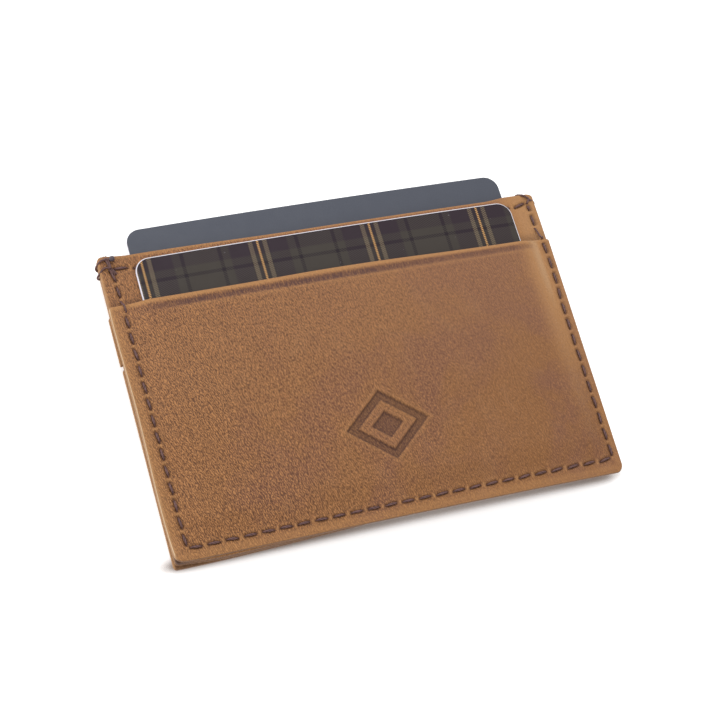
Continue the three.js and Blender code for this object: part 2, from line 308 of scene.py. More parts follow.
def leather_panel(
    name, node, outline, outer, inner, marks, zones,
    trim=None, keep=None, extra=((), ()), gap=None, fold=None,
):
    """A leather panel whose grain side lies at outer(x, y) and flesh side at inner(x, y).

    marks(x, y) gives the grain side's relief and its dark and light shares, and zones are (wanted, cuts)
    pairs for refine(). trim(x, y) moves the cut edge, as a hand-held knife does. gap(x, y) paints shade on
    both sides and the cut edge, and fold(x, y) is the share of wrinkles that a fold leaves.
    """
    xs, ys = outline.lines(*extra)
    bm = grid_solid(xs, ys, keep or (lambda x, y: True))
    for wanted, cuts in zones:
        refine(bm, wanted, cuts)
    flat = np.array([v.co for v in bm.verts])
    level = flat[:, 2]
    y = flat[:, 1]
    x = outline.warp(flat[:, 0], y)
    inset = outline.inset(x, y)
    if keep:
        inset = np.minimum(inset, keep.inset(x, y))
    relief, dark, light = marks(x, y)
    dark = np.where(level > 0.5, dark, 0)
    if gap:
        dark = np.maximum(dark, gap(x, y))
    # A painted highlight along the rounded edge of each grain side.
    rim_highlight = 0.8 * bell(inset - 0.16, 0.2)
    shares = {
        "dark": dark,
        "fold": fold(x, y) * level if fold else 0 * x,
        "light": np.where(level > 0.5, np.maximum(light, rim_highlight), 0),
        "edge": 1 - smooth(inset, 0.0, 0.2),
        "flesh": 1 - level,
    }
    z = panel_height(x, y, level, inset, outer, inner, relief)
    if trim:
        dx, dy = trim(x, y)
        x, y = x + dx, y + dy
    for vertex, place in zip(bm.verts, np.stack([x, y, bowed(x, z)], 1) * MM):
        vertex.co = place
    mesh = mesh_from(bm, name)
    for share, values in shares.items():
        set_attribute(mesh, share, values)
    add_piece(name, mesh, "holder", LEATHER_MATERIAL, node)


# ---- seams
def evenly(start, end, count):
    return [start + (end - start) * k / count for k in range(count + 1)]


FOOT_XS = evenly(SEAM_LEFT, SEAM_RIGHT, FOOT_STITCHES)
SIDE_YS = evenly(SEAM_FOOT, TOP_SEAM_Y, SIDE_STITCHES)


def punched(x, y):
    """Where a hole of the frame is really punched, by hand.

    The right row leans out and climbs, the foot row tilts, and the top row is low between its two end holes.
    """
    height = (y - FOOT) / (HEAD - FOOT)
    across = (x - SEAM_LEFT) / (SEAM_RIGHT - SEAM_LEFT)
    last = smooth(height, 0.91, 0.95)
    right = (0.15 + 0.8 * height + 0.45 * bell(height - 0.7, 0.1)) * smooth(across, 0.8, 1)
    left = 0.5 * last * smooth(-across, -0.02, 0)
    foot = (0.7 * across - 0.5) * (1 - height)
    climb = 1.4 * height * (1 - last) * smooth(across, 0.98, 1)
    head = 0.6 * last * smooth(across, 0, 0.03) * smooth(-across, -1, -0.97)
    return x + right - left, y + foot + climb - head


def slanted(start, end, slant):
    """The visible part of a stitch between two holes: shortened at both ends and turned a little."""
    start, end = np.array(punched(*start), float), np.array(punched(*end), float)
    length = np.linalg.norm(end - start)
    along = (end - start) / length
    across = np.array([-along[1], along[0]]) * slant
    cut = along * min(STITCH_GAP, 0.6 * length) / 2
    return start + cut - across, end - cut + across


def row(holes, slants):
    """Stitches between neighbouring holes, with a slant that goes from one value to another and wobbles."""
    count = len(holes) - 1
    turns = [
        slants[0] + (slants[1] - slants[0]) * k / count + STITCH_WOBBLE * math.sin(2.4 * k)
        for k in range(count)
    ]
    return [slanted(a, b, turn) for a, b, turn in zip(holes, holes[1:], turns)]


def foot_row():
    return row([(x, SEAM_FOOT) for x in FOOT_XS], FOOT_SLANTS)


def top_row():
    return row([(x, TOP_SEAM_Y) for x in FOOT_XS], (LEFT_SLANT, LEFT_SLANT))


def side_rows(low, high):
    """The stitches of both side seams whose two holes lie between two heights."""
    ys = [y for y in SIDE_YS if low < y < high]
    left = row([(SEAM_LEFT, y) for y in ys], (LEFT_SLANT, LEFT_SLANT))
    right = row([(SEAM_RIGHT, y) for y in ys], (RIGHT_SLANT, RIGHT_SLANT))
    return left + right


def seam_marks(x, y, stitches):
    """What stitches do to leather: a trough and end pits, painted shade in them that is partly burnish, and
    painted highlights.
    """
    relief = np.zeros_like(x)
    dark = np.zeros_like(x)
    light = np.zeros_like(x)
    for start, end in stitches:
        near = (np.abs(x - (start[0] + end[0]) / 2) < 5) & (np.abs(y - (start[1] + end[1]) / 2) < 5)
        if not near.any():
            continue
        px, py = x[near] - start[0], y[near] - start[1]
        length = np.linalg.norm(end - start)
        ux, uy = (end - start) / length
        along = px * ux + py * uy
        off = np.abs(py * ux - px * uy)
        over = np.clip(along, 0, length) - along
        distance = np.hypot(off, over)
        ends = np.minimum(np.hypot(along, off), np.hypot(along - length, off))
        before = np.abs(along + STITCH_GAP / 2)
        beyond = np.abs(along - length - STITCH_GAP / 2)
        bridge = bell(np.minimum(before, beyond), 0.3) * bell(off, 0.34)
        beside = bell(off - 0.85, 0.4) * bell(along - length / 2, length * 0.42)
        hollow = 0.26 * bell(distance, 0.4) + 0.2 * bell(ends, 0.28) + 0.04 * bell(distance, 1.2)
        relief[near] += 0.03 * beside + 0.08 * bridge - hollow
        # Painted shade along each stitch's trough and in its holes, partly burnish.
        shade = np.maximum(0.75 * bell(distance, 0.33), 0.95 * bell(ends, 0.26))
        dark[near] = np.maximum(dark[near], shade)
        # Painted highlights on the leather beside each stitch and between its holes.
        raised_highlight = np.maximum(0.15 * beside, 0.9 * bridge * (1 - bell(distance, 0.4)))
        light[near] = np.maximum(light[near], raised_highlight)
    return relief, dark, light


def merge_marks(*sets):
    """Adds reliefs, and keeps the stronger of the dark and light shares."""
    relief = sum(s[0] for s in sets)
    dark = np.maximum.reduce([s[1] for s in sets])
    light = np.maximum.reduce([s[2] for s in sets])
    return relief, dark, light


def lightened(x, share):
    """Marks that only lighten the leather."""
    return 0 * x, 0 * x, share


def in_band(value, low, high):
    return low < value < high


def seam_zone(head):
    """Cells near the side and foot seams, up to a panel's mouth."""
    reach = 2.0

    def wanted(x, y):
        sides = in_band(x - SEAM_LEFT, -reach, reach) or in_band(x - SEAM_RIGHT, -1.4, reach)
        foot = in_band(y - SEAM_FOOT, -reach, reach)
        return (sides or foot) and y < head - 0.7 and y > FOOT + 0.8
    return wanted


# ---- the front pocket
STAMP_CENTRE = (0.6, FOOT + 19.5)
STAMP_HALF = (9.0, 7.6)
STAMP_STROKE = 1.6
STAMP_DEPTH = 0.42
CREASE_DROP = 1.95
CREAM = 2.0


def corner_lift(x, y):
    """The front pocket's left foot corner has curled a little away from the layers behind."""
    return CURL_LIFT * bell(np.hypot(x + HALF_WIDTH, y - FOOT), CURL_REACH)


def front_outer(x, y):
    plateau = stand_off(x, y, *FRONT_OUTER_BULGE)
    rise = (CARD_ROOM + 0.12) * plateau + 0.05 * plateau * ripple(x, y)
    return FRONT_SEAT + LEATHER + rise + corner_lift(x, y)


def front_inner(x, y):
    rise = CARD_ROOM * stand_off(x, y, *FRONT_INNER_BULGE)
    return FRONT_SEAT + rise + corner_lift(x, y)


def stamp_distance(x, y):
    """Distance to a pressed mark, a diamond outline round a small solid diamond, negative inside it."""
    half_x, half_y = STAMP_HALF
    scale = half_x * half_y / math.hypot(half_x, half_y)
    from_edge = (np.abs(x - STAMP_CENTRE[0]) / half_x + np.abs(y - STAMP_CENTRE[1]) / half_y - 1) * scale
    outline = np.abs(from_edge + STAMP_STROKE / 2) - STAMP_STROKE / 2
    return np.minimum(outline, from_edge + 0.62 * scale)


def stamp_marks(x, y):
    distance = stamp_distance(x, y)
    pressed = smooth(-distance, -0.14, 0.14)
    around = bell(distance - 0.45, 0.4) * (1 - pressed)
    # The pressed floor is darker leather; the thin dark line just inside the stamp's edge is painted shade,
    # and the lighter ring round it is a painted highlight.
    dark = 0.5 * pressed + 0.35 * bell(distance + 0.12, 0.16)
    return 0.05 * around - STAMP_DEPTH * pressed, dark, 0.3 * around


def front_marks(x, y):
    """Stitches, the stamp, the mouth's lip and fold, lighter margins, and painted highlights on the right
    slope and the left edge.
    """
    seams = seam_marks(x, y, foot_row() + side_rows(FOOT, FRONT_MOUTH))
    lip = lightened(x, smooth(y, FRONT_MOUTH - 1.3, FRONT_MOUTH - 0.6))
    # A painted highlight on the right slope, where the light falls.
    bent = 1.25 * smooth(x, 40.5, 46) - 0.5 * smooth(x, 46.5, 48)
    margin = 0.5 * np.maximum(bell(HALF_WIDTH - np.abs(x) - 1, 1.1), bell(y - FOOT - 1, 1.0))
    slope = lightened(x, np.maximum(bent * smooth(y, FOOT + 3, FRONT_MOUTH - 6), margin))
    # A painted highlight along the left edge, cream at its brightest.
    left_edge_highlight = lightened(x, CREAM * bell(HALF_WIDTH + x - 0.12, 0.14))
    # A painted highlight on the leather just below the fold.
    under = 0.35 * bell(y - (FRONT_MOUTH - CREASE_DROP - 1.1), 0.3) * smooth(HALF_WIDTH + x, 8, 20)
    crease = (-0.14 * mouth_fold(x, y), 0 * x, under)
    return merge_marks(seams, stamp_marks(x, y), crease, lip, slope, left_edge_highlight)


def mouth_fold(x, y):
    """The dark, finely wrinkled fold under the mouth, where the card has bent the leather."""
    fade = smooth(HALF_WIDTH + x, 3, 15) * smooth(HALF_WIDTH - x, 2.4, 6) * (1 - 0.4 * smooth(x, 0, 35))
    across = np.abs(y - (FRONT_MOUTH - CREASE_DROP))
    return fade * (1 - smooth(across, 0.35, 0.95))


def near_stamp(x, y):
    return stamp_distance(x, y) < 1.1


def near_crease(x, y):
    return in_band(y - FRONT_MOUTH, -4.2, -0.7) and abs(x) < HALF_WIDTH - 5


def front_trim(x, y):
    """The front pocket's sides wander, and its mouth is cut a little lower to the right."""
    height = (y - FOOT) / (FRONT_MOUTH - FOOT)
    left = 0.16 * np.sin(0.16 * y + 0.6) * at_edge(HALF_WIDTH + x)
    right = (0.95 * height - 0.4) * at_edge(HALF_WIDTH - x)
    line = 0.1 * np.sin(0.11 * x + 1.1) - 0.5 * smooth(x, -10, 45)
    mouth = line * smooth(y, FRONT_MOUTH - TRIM_REACH, FRONT_MOUTH)
    return left + right, mouth


def front_pocket():
    outline = Outline(HALF_WIDTH, FOOT, FRONT_MOUTH, FRONT_FOOT_RADIUS, MOUTH_RADIUS)
    zones = [(seam_zone(FRONT_MOUTH), 3), (near_stamp, 4), (near_crease, 2)]
    leather_panel(
        "front_pocket", "front_pocket_panel", outline, front_outer, front_inner,
        front_marks, zones, front_trim, fold=mouth_fold,
    )


# ---- the two centre panels
def back_layer_trim(x, y):
    """The layers behind the front pocket stand out at the left foot corner and at the head of the right side.

    They are cut short at the right of the foot, at the foot of the right side, and along the left.
    """
    foot = (1.6 * smooth(x, -45, 10) - 0.38) * at_edge(y - FOOT)
    right = (1.1 * smooth(y, -20, 36) - 0.5) * at_edge(HALF_WIDTH - x)
    left = 0.2 * at_edge(HALF_WIDTH + x)
    return right + left, foot


def head_drop(x):
    """How far the top edge of the centre panels is cut below the frame's."""
    return 0.55 * smooth(x, -49, -42) + 0.6 * smooth(x, -42, -5) - 0.45 * smooth(x, 38, 44)


def centre_trim(x, y):
    """The centre panels are cut further in at the lower left, which leaves a dark line between layers."""
    sides, foot = back_layer_trim(x, y)
    left = 0.2 * smooth(-y, -28, -20) * at_edge(HALF_WIDTH + x)
    corner = 0.6 * bell(x + HALF_WIDTH, 7) * at_edge(y - FOOT)
    return sides + left, foot + corner - head_drop(x) * smooth(y, HEAD - TRIM_REACH, HEAD)


def mouth_drop(x):
    """How far the lower back pocket's mouth drops at its left end."""
    return MOUTH_DROP * bell(x + HALF_WIDTH, MOUTH_DROP_REACH)


def lower_trim(x, y):
    """The lower back pocket is cut like the other back layers, with a mouth that drops at its left end."""
    sides, foot = back_layer_trim(x, y)
    return sides, foot - mouth_drop(x) * smooth(y, LOWER_MOUTH - TRIM_REACH, LOWER_MOUTH)


def tab_trim(x, y):
    """The tab of the upper pocket reaches down to the lower pocket's dropped mouth."""
    tab_foot = LOWER_MOUTH + TAB_GAP
    return 0 * x, -mouth_drop(x) * (1 - smooth(y, tab_foot, tab_foot + TRIM_REACH))


def centre_front_marks(x, y):
    """Only the strip above the front pocket shows, so the seam's marks stop at the pocket's mouth."""
    relief, dark, light = seam_marks(x, y, top_row() + side_rows(FRONT_MOUTH, HEAD))
    shown = smooth(y, FRONT_MOUTH - 0.5, FRONT_MOUTH + 0.3)
    shade = 0.35 * (1 - smooth(y, FRONT_MOUTH + 0.2, FRONT_MOUTH + 2.2))
    lip = 0.7 * smooth(y, HEAD - 1.2, HEAD - 0.5)
    # A painted highlight that lightens the right side.
    bent = 1.1 * smooth(x, 38, 46)
    dark = np.maximum(dark, shade) * shown
    return relief * shown, dark, np.maximum(light * shown, np.maximum(lip, bent))


def centre_back_marks(x, y):
    relief, dark, light = seam_marks(x, y, top_row() + side_rows(UPPER_MOUTH, HEAD))
    shown = smooth(y, UPPER_MOUTH - 0.5, UPPER_MOUTH + 0.3)
    lip = 0.35 * smooth(y, HEAD - 1.2, HEAD - 0.5)
    return relief * shown, dark * shown, np.maximum(light * shown, lip)


def head_zone(mouth):
    """Cells near the top seam, and near the side seams above a pocket's mouth."""
    def wanted(x, y):
        sides = in_band(x - SEAM_LEFT, -2, 2) or in_band(x - SEAM_RIGHT, -2, 1.4)
        top = in_band(y - TOP_SEAM_Y, -1.6, 1.6)
        inside = abs(x) < HALF_WIDTH - 0.7 and y < HEAD - 0.7
        return inside and (top or (sides and y > mouth - 0.5))
    return wanted


def corner_gap(x, y):
    """Painted shade in the gap behind the front pocket's curled corner."""
    return bell(np.hypot(x + HALF_WIDTH, y - FOOT), 3)


def centre_panels():
    outline = Outline(HALF_WIDTH, FOOT, HEAD, BACK_FOOT_RADIUS, HEAD_RADIUS)
    level = BACK_HIGH[2]
    leather_panel(
        "centre_front", "centre_front_panel", outline,
        flat_surface(FRONT_SEAT), flat_surface(level + FLESH_GAP),
        centre_front_marks, [(head_zone(FRONT_MOUTH), 3)], centre_trim, gap=corner_gap,
    )
    leather_panel(
        "centre_back", "centre_back_panel", outline,
        flat_surface(BACK_SEAT), flat_surface(level - FLESH_GAP),
        centre_back_marks, [(head_zone(UPPER_MOUTH), 3)], centre_trim,
    )


# ---- the two back pockets
def upper_rise(x, y):
    return CARD_ROOM * stand_off(x, y, *UPPER_BULGE)


def lower_rise(x, y):
    return (LOWER_SEAT - LOWER_LOW[2]) * stand_off(x, y, *LOWER_BULGE)


def lower_outer(x, y):
    return LOWER_SEAT - lower_rise(x, y)


class UpperCut:
    """The upper back pocket is a T: tabs as wide as the holder, and a narrower body below them."""

    tab_foot = LOWER_MOUTH + TAB_GAP
    body_half = HALF_WIDTH - UPPER_BODY_MARGIN

    def __call__(self, x, y):
        return y > self.tab_foot or abs(x) < self.body_half

    def inset(self, x, y):
        return np.maximum(self.body_half - np.abs(x), y - self.tab_foot)


def back_lip(x, y, mouth):
    return lightened(x, 0.4 * smooth(y, mouth - 1.1, mouth - 0.4))


def upper_marks(x, y):
    seams = seam_marks(x, y, side_rows(LOWER_MOUTH, UPPER_MOUTH))
    return merge_marks(seams, back_lip(x, y, UPPER_MOUTH))


def lower_marks(x, y):
    seams = seam_marks(x, y, foot_row() + side_rows(FOOT, LOWER_MOUTH))
    inside = smooth(HALF_WIDTH - np.abs(x), 4, 12)
    crease = -0.08 * bell(y - (LOWER_MOUTH - CREASE_DROP), 0.75) * inside
    # The crease is darkened in step with its depth: painted shade.
    return merge_marks(seams, back_lip(x, y, LOWER_MOUTH), (crease, -4 * crease, 0 * x))


def tab_zone(x, y):
    return abs(abs(x) - (HALF_WIDTH - 3)) < 2 and in_band(y, LOWER_MOUTH + 0.8, UPPER_MOUTH - 0.7)


def back_pockets():
    cut = UpperCut()
    leather_panel(
        "back_upper_pocket", "back_upper_pocket_panel",
        Outline(HALF_WIDTH, UPPER_LOW[1], UPPER_MOUTH, MOUTH_RADIUS, MOUTH_RADIUS),
        lambda x, y: TAB_SEAT - upper_rise(x, y), lambda x, y: BACK_SEAT - upper_rise(x, y),
        upper_marks, [(tab_zone, 3)], tab_trim, cut,
        ((-cut.body_half, cut.body_half), [cut.tab_foot + d for d in EDGE_LINES]),
    )
    leather_panel(
        "back_lower_pocket", "back_lower_pocket_panel",
        Outline(HALF_WIDTH, FOOT, LOWER_MOUTH, BACK_FOOT_RADIUS, MOUTH_RADIUS),
        lower_outer, lambda x, y: BACK_SEAT - lower_rise(x, y),
        lower_marks, [(seam_zone(LOWER_MOUTH), 3)], lower_trim,
    )


# ---- thread
class Thread:
    """Collects strands of three-ply thread, and makes them one piece."""

    SIDES = 12
    PLIES = 3
    END_SHARE = 0.7

    def __init__(self):
        self.places = []
        self.faces = []
        self.ply = []

    def strand(self, points, radii, flat=0.8, side=None, rope=0.11):
        """One strand along points, with a radius at each, whose plies stand out by the share rope."""
        points = np.array(points, float)
        tangents = np.gradient(points, axis=0)
        tangents /= np.linalg.norm(tangents, axis=1)[:, None]
        run = np.concatenate([[0], np.cumsum(np.linalg.norm(np.diff(points, axis=0), axis=1))])
        side = np.array(side if side is not None else (1, 0, 0), float)
        first = len(self.places)
        turn = np.arange(self.SIDES) * 2 * math.pi / self.SIDES
        for point, tangent, radius, at in zip(points, tangents, radii, run):
            side = side - tangent * side.dot(tangent)
            side /= np.linalg.norm(side)
            up = np.cross(tangent, side)
            ply = np.cos(self.PLIES * (turn - PLY_TWIST * at))
            reach = radius * (1 + rope * ply)
            ring = point + np.outer(reach * np.cos(turn), side) + flat * np.outer(reach * np.sin(turn), up)
            self.places += list(ring)
            self.ply += list(ply)
        for k in range(len(points) - 1):
            for i in range(self.SIDES):
                j = (i + 1) % self.SIDES
                low, high = first + k * self.SIDES, first + (k + 1) * self.SIDES
                self.faces.append((low + i, low + j, high + j, high + i))
        last = len(self.places) - self.SIDES
        self.faces.append(tuple(first + i for i in reversed(range(self.SIDES))))
        self.faces.append(tuple(last + i for i in range(self.SIDES)))

    def stitch(self, start, end, surface, outwards, lift=STITCH_LIFT, radius=STITCH_RADIUS, dip=STITCH_DIP):
        """A stitch whose visible part is a slim lens, with thin tails that go down into its two holes."""
        steps = np.linspace(-0.2, 1.2, 15)
        xy = start + np.outer(steps, end - start)
        body = np.sin(np.pi * np.clip(0.04 + 0.92 * steps, 0, 1)) ** 0.7
        sunk = np.clip(np.abs(steps - 0.5) - 0.4, 0, None) / 0.3
        height = surface(xy[:, 0], xy[:, 1]) + outwards * (radius * lift * body - dip * sunk)
        points = np.column_stack([xy, bowed(xy[:, 0], height)])
        across = end - start
        self.strand(points, radius * (0.25 + 0.75 * body), side=(-across[1], across[0], 0))

    def curve(self, points, radius=STITCH_RADIUS * 0.8, count=16):
        """A strand along a smooth curve through a few points, thinner at its ends."""
        points = np.array(points, float)
        knots = np.linspace(0, 1, len(points))
        at = np.linspace(0, 1, count)
        places = np.stack([hermite(knots, points[:, axis], at) for axis in range(3)], 1)
        places[:, 2] = bowed(places[:, 0], places[:, 2])
        radii = radius * (self.END_SHARE + (1 - self.END_SHARE) * np.sin(np.pi * at) ** 0.4)
        self.strand(places, radii, flat=0.92)

    def piece(self, name, node):
        """Makes the collected strands one piece, in place of a CAD node."""
        mesh = bpy.data.meshes.new(name)
        mesh.from_pydata([tuple(p * MM) for p in self.places], [], self.faces)
        mesh.update()
        set_attribute(mesh, "ply", self.ply)
        add_piece(name, mesh, "holder", THREAD_MATERIAL, node)


def hermite(knots, values, at):
    """A smooth curve through values, with slopes from the neighbours."""
    slopes = np.gradient(values, knots)
    k = np.clip(np.searchsorted(knots, at) - 1, 0, len(knots) - 2)
    width = knots[k + 1] - knots[k]
    t = (at - knots[k]) / width
    low = (1 + 2 * t) * (1 - t) ** 2 * values[k] + t * (1 - t) ** 2 * slopes[k] * width
    high = t**2 * (3 - 2 * t) * values[k + 1] + t**2 * (t - 1) * slopes[k + 1] * width
    return low + high


def perimeter_seam():
    thread = Thread()
    for stitches, surface, outwards in (
        (foot_row() + side_rows(FOOT, FRONT_MOUTH), front_outer, 1),
        (side_rows(FRONT_MOUTH, HEAD), flat_surface(FRONT_SEAT), 1),
        (foot_row() + side_rows(FOOT, LOWER_MOUTH), lower_outer, -1),
        (side_rows(LOWER_MOUTH, UPPER_MOUTH), flat_surface(TAB_SEAT), -1),
        (side_rows(UPPER_MOUTH, HEAD), flat_surface(BACK_SEAT), -1),
    ):
        for start, end in stitches:
            thread.stitch(start, end, surface, outwards)
    for x in (SEAM_LEFT, SEAM_RIGHT):
        edge_stitch(thread, x, FRONT_MOUTH, FRONT_SEAT + LEATHER, FRONT_SEAT, 1)
        edge_stitch(thread, x, UPPER_MOUTH, TAB_SEAT, BACK_SEAT, -1)
        edge_stitch(thread, x, LOWER_MOUTH, LOWER_SEAT, TAB_SEAT, -1)
    thread.piece("perimeter_seam_stitches", "perimeter_seam_thread")


def edge_stitch(thread, x, mouth, high_z, low_z, outwards):
    """The stitch that steps over a pocket's mouth, from its face to the layer behind."""
    low_x, below = punched(x, max(y for y in SIDE_YS if y < mouth))
    high_x, above = punched(x, min(y for y in SIDE_YS if y > mouth))
    lift = 0.3 * outwards
    thread.curve([
        (low_x + 0.3, below + 0.35, high_z - 2 * lift),
        (low_x + 0.25, below + 0.55, high_z + 0.6 * lift),
        (low_x + 0.1, mouth - 0.15, high_z + 1.1 * lift),
        (low_x, mouth + 0.35, (high_z + low_z) / 2 + lift),
        (high_x - 0.15, above - 0.45, low_z + 0.7 * lift),
        (high_x - 0.15, above - 0.25, low_z - 2 * lift),
    ])


def top_seam():
    thread = Thread()
    for start, end in top_row():
        thread.stitch(start, end, flat_surface(FRONT_SEAT), 1)
        thread.stitch(start, end, flat_surface(BACK_SEAT), -1)
    left_corner(thread)
    right_corner(thread)
    thread.piece("top_seam_stitches", "top_seam_thread")


OUT = 0.28
LASHING_RADIUS = 0.24
MELTED = 2.0
MELTED_RADIUS = 0.6
MIDDLE_SEAT = (FRONT_SEAT + BACK_SEAT) / 2


def round_edge(thread, route, edge, back):
    """A lashing along the front, round the edge of both centre panels, and back in from behind."""
    hole = route[0]
    front = [(*place, FRONT_SEAT + OUT) for place in route]
    behind = [(*back, BACK_SEAT - OUT), (*hole, BACK_SEAT - 0.6 * OUT), (*hole, BACK_SEAT + 0.4)]
    points = [(*hole, FRONT_SEAT - 0.4), *front, (*edge, MIDDLE_SEAT), *behind]
    thread.curve(points, LASHING_RADIUS, count=30)


def left_corner(thread):
    """Three strands to the next side hole, lashings over the top and left edges, and a melted end."""
    x, y = punched(SEAM_LEFT, TOP_SEAM_Y)
    for shift in (-0.32, 0, 0.32):
        start = (x - 0.05 + shift, y - 0.1 + 0.25 * shift, FRONT_SEAT)
        middle = (x + 0.35 + shift, y - 0.8, FRONT_SEAT + 0.26)
        end = (x + 0.7 + 1.2 * shift, y - 1.7 + 0.3 * shift, FRONT_SEAT + 0.1)
        thread.curve([start, middle, end], radius=0.18)
    top = HEAD - head_drop(x) + OUT
    for shift in (-0.22, 0.22):
        over = [(x + 0.4 * shift, y), (x - 0.2 + shift, HEAD - 1.2)]
        round_edge(thread, over, (x - 0.35 + shift, top), (x - 0.3 + shift, HEAD - 1))
    side = -HALF_WIDTH - OUT
    lower = [(x, y), (-HALF_WIDTH + 1.2, y + 0.1)]
    round_edge(thread, lower, (side, y - 1.2), (-HALF_WIDTH + 1, y - 1))
    corner = [(x - 0.1, y + 2.0), (-HALF_WIDTH + 0.9, y + 1.9)]
    round_edge(thread, corner, (side + 0.1, y + 0.9), (-HALF_WIDTH + 1, y + 0.6))
    melted_end(thread, (x + 0.75, y + 1.85, FRONT_SEAT + 0.75))


def melted_end(thread, centre):
    """The blob that a thread end makes when it is melted down."""
    steps = np.linspace(-1, 1, 11)
    x, y, z = centre
    points = [(x + MELTED_RADIUS * t, y + 0.1 * t, bowed(x, z)) for t in steps]
    radii = MELTED_RADIUS * np.sqrt(np.clip(1.04 - steps**2, 0, 1))
    first = len(thread.ply)
    thread.strand(points, radii, flat=0.9, side=(0, 1, 0), rope=0)
    thread.ply[first:] = [MELTED] * (len(thread.ply) - first)


def right_corner(thread):
    """A lashing that slants over the top edge and another round the right edge."""
    x, y = punched(SEAM_RIGHT, TOP_SEAM_Y)
    top = HEAD - head_drop(SEAM_RIGHT)
    over = [(x, y), (x + 0.6, y + 0.9), (x - 0.5, top - 0.4)]
    round_edge(thread, over, (x - 1.6, top + OUT), (x - 1, top - 1))
    side = HALF_WIDTH + 0.6 + OUT
    round_edge(thread, [(x, y), (x + 0.7, y + 0.7)], (side, y + 0.1), (HALF_WIDTH - 0.6, y))


def upper_pocket_seam():
    """The hidden seam at the foot of the upper back pocket."""
    thread = Thread()
    y = (UPPER_SEAM_LOW[1] + UPPER_SEAM_HIGH[1]) / 2
    half = UPPER_SEAM_HIGH[0] - THREAD_HALF
    inside = flat_surface(BACK_HIGH[2])
    outside = flat_surface(TAB_SEAT)
    holes = [(x, y) for x in evenly(-half, half, UPPER_SEAM_STITCHES)]
    for start, end in row(holes, (LEFT_SLANT, LEFT_SLANT)):
        thread.stitch(start, end, inside, 1, lift=-0.9, radius=0.2, dip=0.3)
        thread.stitch(start, end, outside, -1, lift=0.3, radius=0.3)
    thread.piece("upper_pocket_seam_stitches", "upper_pocket_seam_thread")


# ---- cards
CARD_RADIUS = 3.18
CARD_ARC_STEPS = 12
CARD_STRIPS = 24
SHARP_ANGLE = math.radians(30)


def rounded_ring(low, high, radius, inset):
    """Points round a rounded rectangle, pulled in by inset."""
    turns = [(high[0], high[1], 0), (low[0], high[1], 90), (low[0], low[1], 180), (high[0], low[1], 270)]
    places = []
    for x, y, angle in turns:
        cx = x - math.copysign(radius, x - (low[0] + high[0]) / 2)
        cy = y - math.copysign(radius, y - (low[1] + high[1]) / 2)
        for k in range(CARD_ARC_STEPS + 1):
            a = math.radians(angle + 90 * k / CARD_ARC_STEPS)
            places.append((cx + (radius - inset) * math.cos(a), cy + (radius - inset) * math.sin(a)))
    return places


def card_layer(name, node, body, material, inset, bevel):
    """One layer of a card: a thin rounded plate with a small bevel, in strips fine enough to bow."""
    low, high = node_box(node)
    bm = bmesh.new()
    levels = [(low[2], bevel), (low[2] + bevel, 0), (high[2] - bevel, 0), (high[2], bevel)]
    rings = []
    for z, pull in levels:
        ring = rounded_ring(low, high, CARD_RADIUS, inset + pull)
        rings.append([bm.verts.new((x, y, z)) for x, y in ring])
    count = len(rings[0])
    for below, above in zip(rings, rings[1:]):
        for i in range(count):
            j = (i + 1) % count
            bm.faces.new((below[i], below[j], above[j], above[i]))
    bm.faces.new(list(reversed(rings[0])))
    bm.faces.new(rings[-1])
    for k in range(1, CARD_STRIPS):
        x = low[0] + (high[0] - low[0]) * k / CARD_STRIPS
        geometry = list(bm.verts) + list(bm.edges) + list(bm.faces)
        bmesh.ops.bisect_plane(bm, geom=geometry, dist=1e-6, plane_co=(x, 0, 0), plane_no=(1, 0, 0))
    for vertex in bm.verts:
        vertex.co.z = bowed(vertex.co.x, vertex.co.z)
        vertex.co *= MM
    mesh = mesh_from(bm, name)
    add_piece(name, mesh, body, material, node)
    mesh.set_sharp_from_angle(angle=SHARP_ANGLE)


def cards():
    """Each card is a white body between a face film and a back film that leave its edge white."""
    for body, face, face_slot, border in (
        ("front_card", CHECK_MATERIAL, "check_print", 0.22),
        ("back_card", SLATE_MATERIAL, "slate_film", 0.06),
    ):
        card_layer(f"{body}_body", f"{body}_core", body, CORE_MATERIAL, 0, 0.1)
        card_layer(f"{body}_face", f"{body}_face_film", body, face, border, 0.03)
        card_layer(f"{body}_back", f"{body}_back_film", body, SLATE_MATERIAL, 0.06, 0.03)


# ---- materials
def srgb(*levels):
    """A colour given as 0 to 255 screen levels, as linear values with full opacity."""
    shares = [v / 255 for v in levels]
    return (*(v / 12.92 if v <= 0.04045 else ((v + 0.055) / 1.055) ** 2.4 for v in shares), 1.0)


